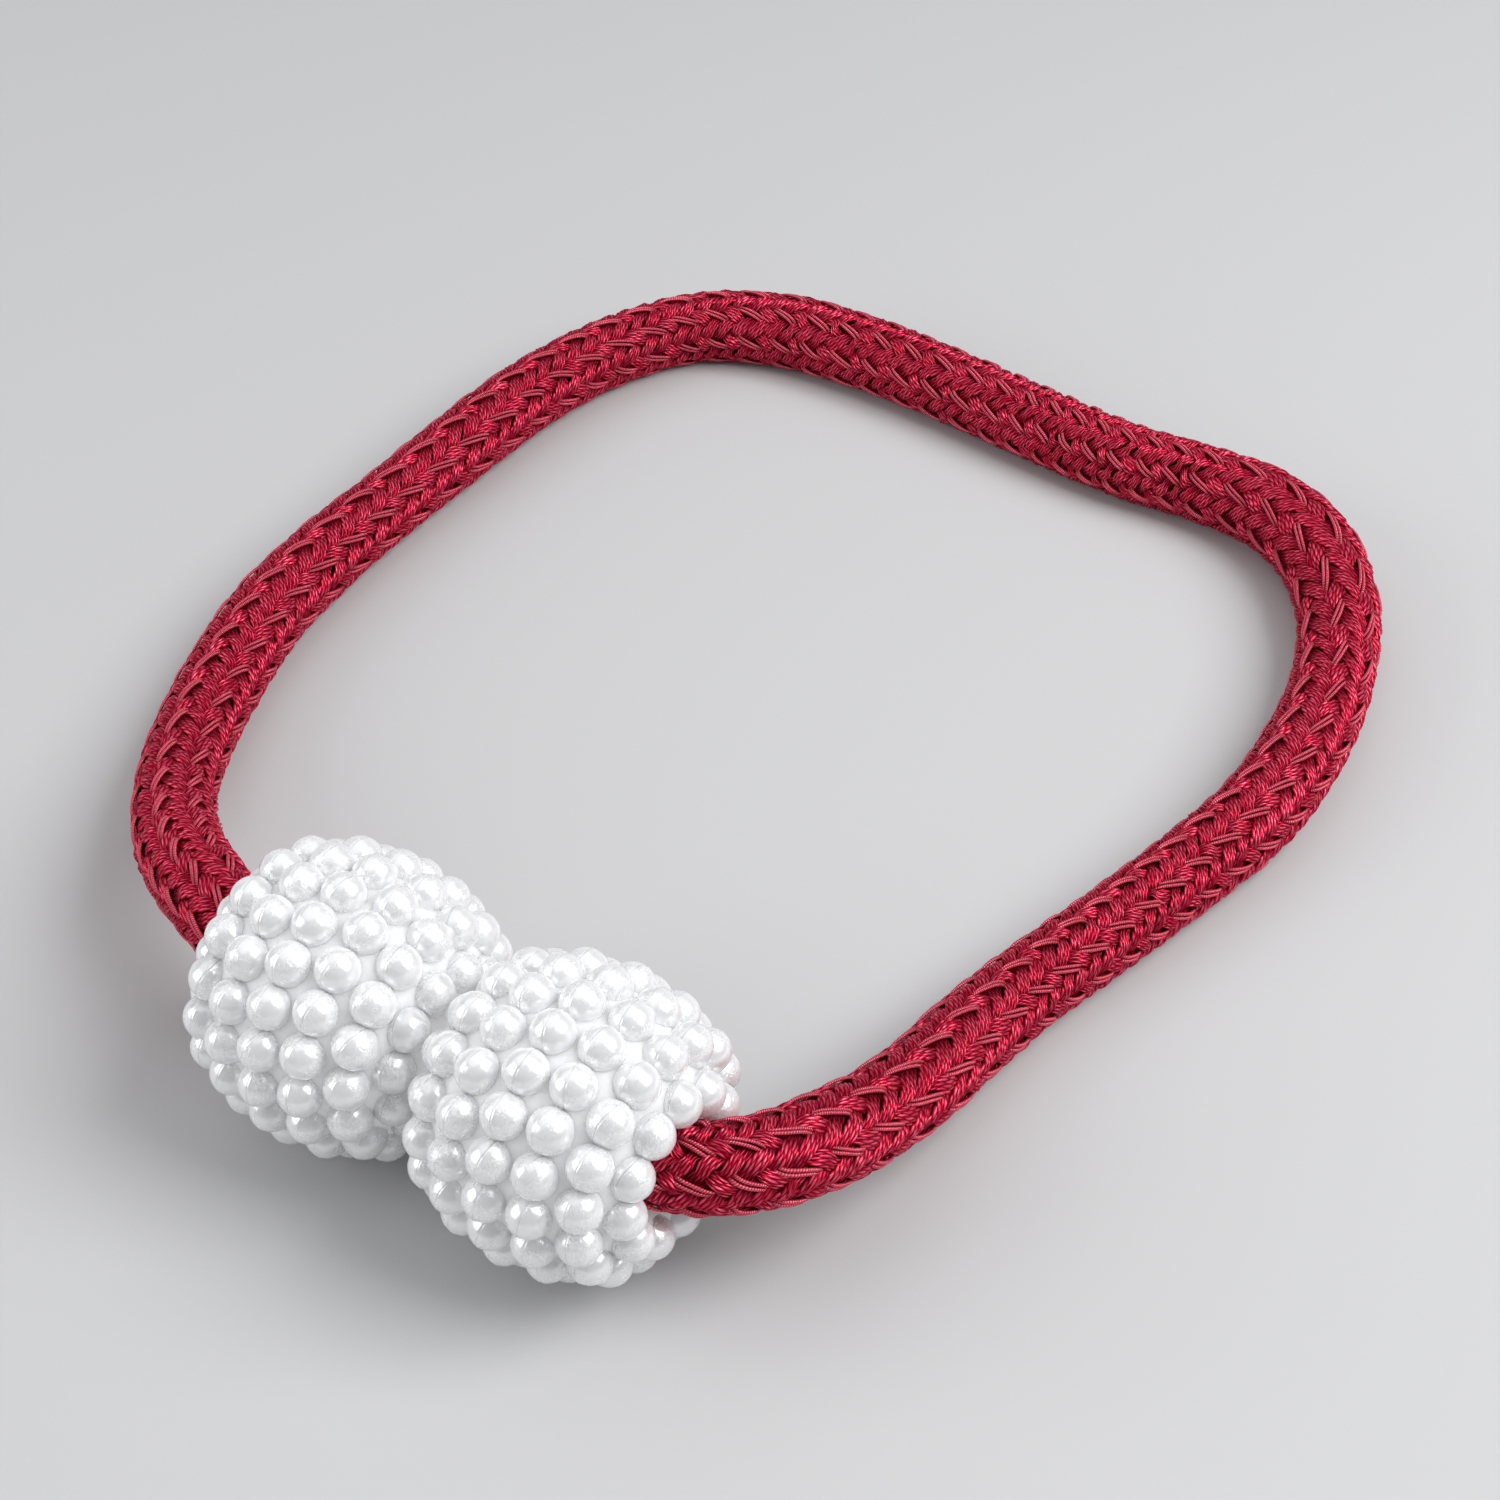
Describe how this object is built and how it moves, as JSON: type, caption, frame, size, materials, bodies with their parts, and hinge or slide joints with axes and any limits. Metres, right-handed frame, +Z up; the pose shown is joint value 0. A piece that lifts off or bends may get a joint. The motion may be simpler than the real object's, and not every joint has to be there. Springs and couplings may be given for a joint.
{
  "type": "magnetic curtain tieback",
  "caption": "Braided rope loop with magnetic pearl-beaded balls on its ends, closed and lying flat; it opens between the balls to go round a gathered curtain.",
  "frame": {"origin": "on the surface it lies on, under the middle of the part's box", "axes": "+Z up; X along the common axis of the two balls; +Y from the balls towards the back of the loop"},
  "size_m": [0.159, 0.2008, 0.0397],
  "materials": {
    "rope": "silky braided yarn",
    "pearl": "pearly"
  },
  "bodies": {
    "root": {"braided_rope": "rope", "bead_ball_left": "pearl", "bead_ball_right": "pearl"}
  },
  "joints": []
}
